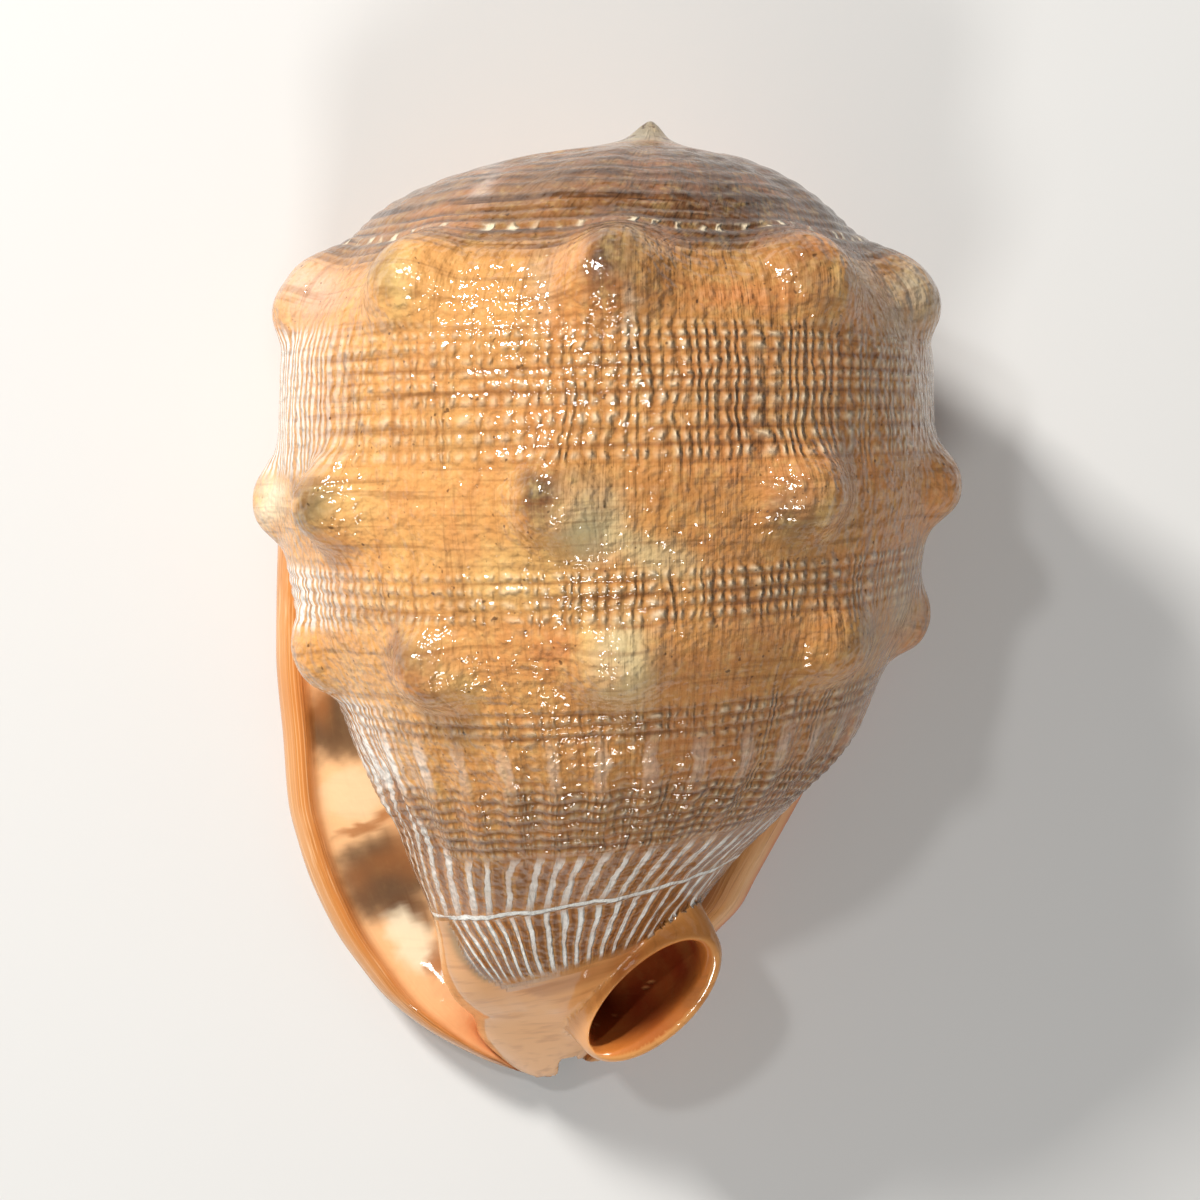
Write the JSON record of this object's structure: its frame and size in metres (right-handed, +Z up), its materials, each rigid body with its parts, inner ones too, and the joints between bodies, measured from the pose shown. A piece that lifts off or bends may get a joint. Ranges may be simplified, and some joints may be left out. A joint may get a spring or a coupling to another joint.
{
  "type": "helmet shell",
  "caption": "Heavy domed sea-snail shell with knobbed, ribbed back, broad flat toothed underside, long aperture slit and upturned canal.",
  "frame": {"origin": "on the resting plane, under the middle of the bounding box", "axes": "+Z up through the knobbed back, +Y towards the spire's tip, -Y towards the siphonal canal, -X towards the outer lip"},
  "size_m": [0.11, 0.154, 0.0886],
  "materials": {
    "shell": "natural shell, golden tan to orange-brown with pale ridges, lightly glossy"
  },
  "bodies": {
    "root": {"shell": "shell"}
  },
  "joints": []
}
